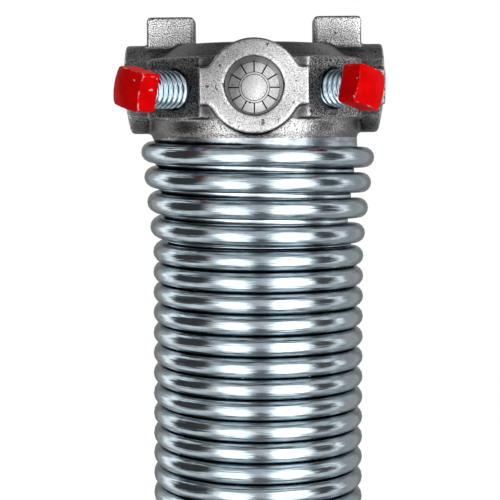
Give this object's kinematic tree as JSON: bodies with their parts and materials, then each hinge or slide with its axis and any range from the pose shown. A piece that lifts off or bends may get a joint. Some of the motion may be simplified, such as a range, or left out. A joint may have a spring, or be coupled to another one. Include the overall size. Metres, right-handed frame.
{
  "type": "garage door torsion spring",
  "caption": "Left-hand close-wound torsion spring gripped on two cast cones; the winding cone has bar sockets, lugs and square-head set screws.",
  "frame": {"origin": "on the shaft axis, in the plane of the stationary cone's mounting face", "axes": "+Z along the shaft from the stationary cone to the winding cone, -Y through the front winding bar socket between the two set screws, +X through the right-hand socket and along the line of the flange bolts"},
  "size_m": [0.094, 0.0672, 0.564],
  "materials": {
    "spring_wire": "bright zinc-coated round wire",
    "cast_aluminium": "as cast, fine grain",
    "red_screw": "red paint on the head, bare zinc on the thread"
  },
  "bodies": {
    "spring": {"coil": "spring_wire", "winding_cone": "cast_aluminium", "stationary_cone": "cast_aluminium"},
    "left_screw": {"set_screw_left": "red_screw"},
    "right_screw": {"set_screw_right": "red_screw"}
  },
  "joints": [
    {"name": "left_screw_travel", "type": "slide", "parent": "spring", "child": "left_screw", "axis": [-0.7071, -0.7071, 0], "range_m": [-0.0045, 0.0076]},
    {"name": "right_screw_travel", "type": "slide", "parent": "spring", "child": "right_screw", "axis": [0.7071, -0.7071, 0], "range_m": [-0.0012, 0.0109]}
  ]
}
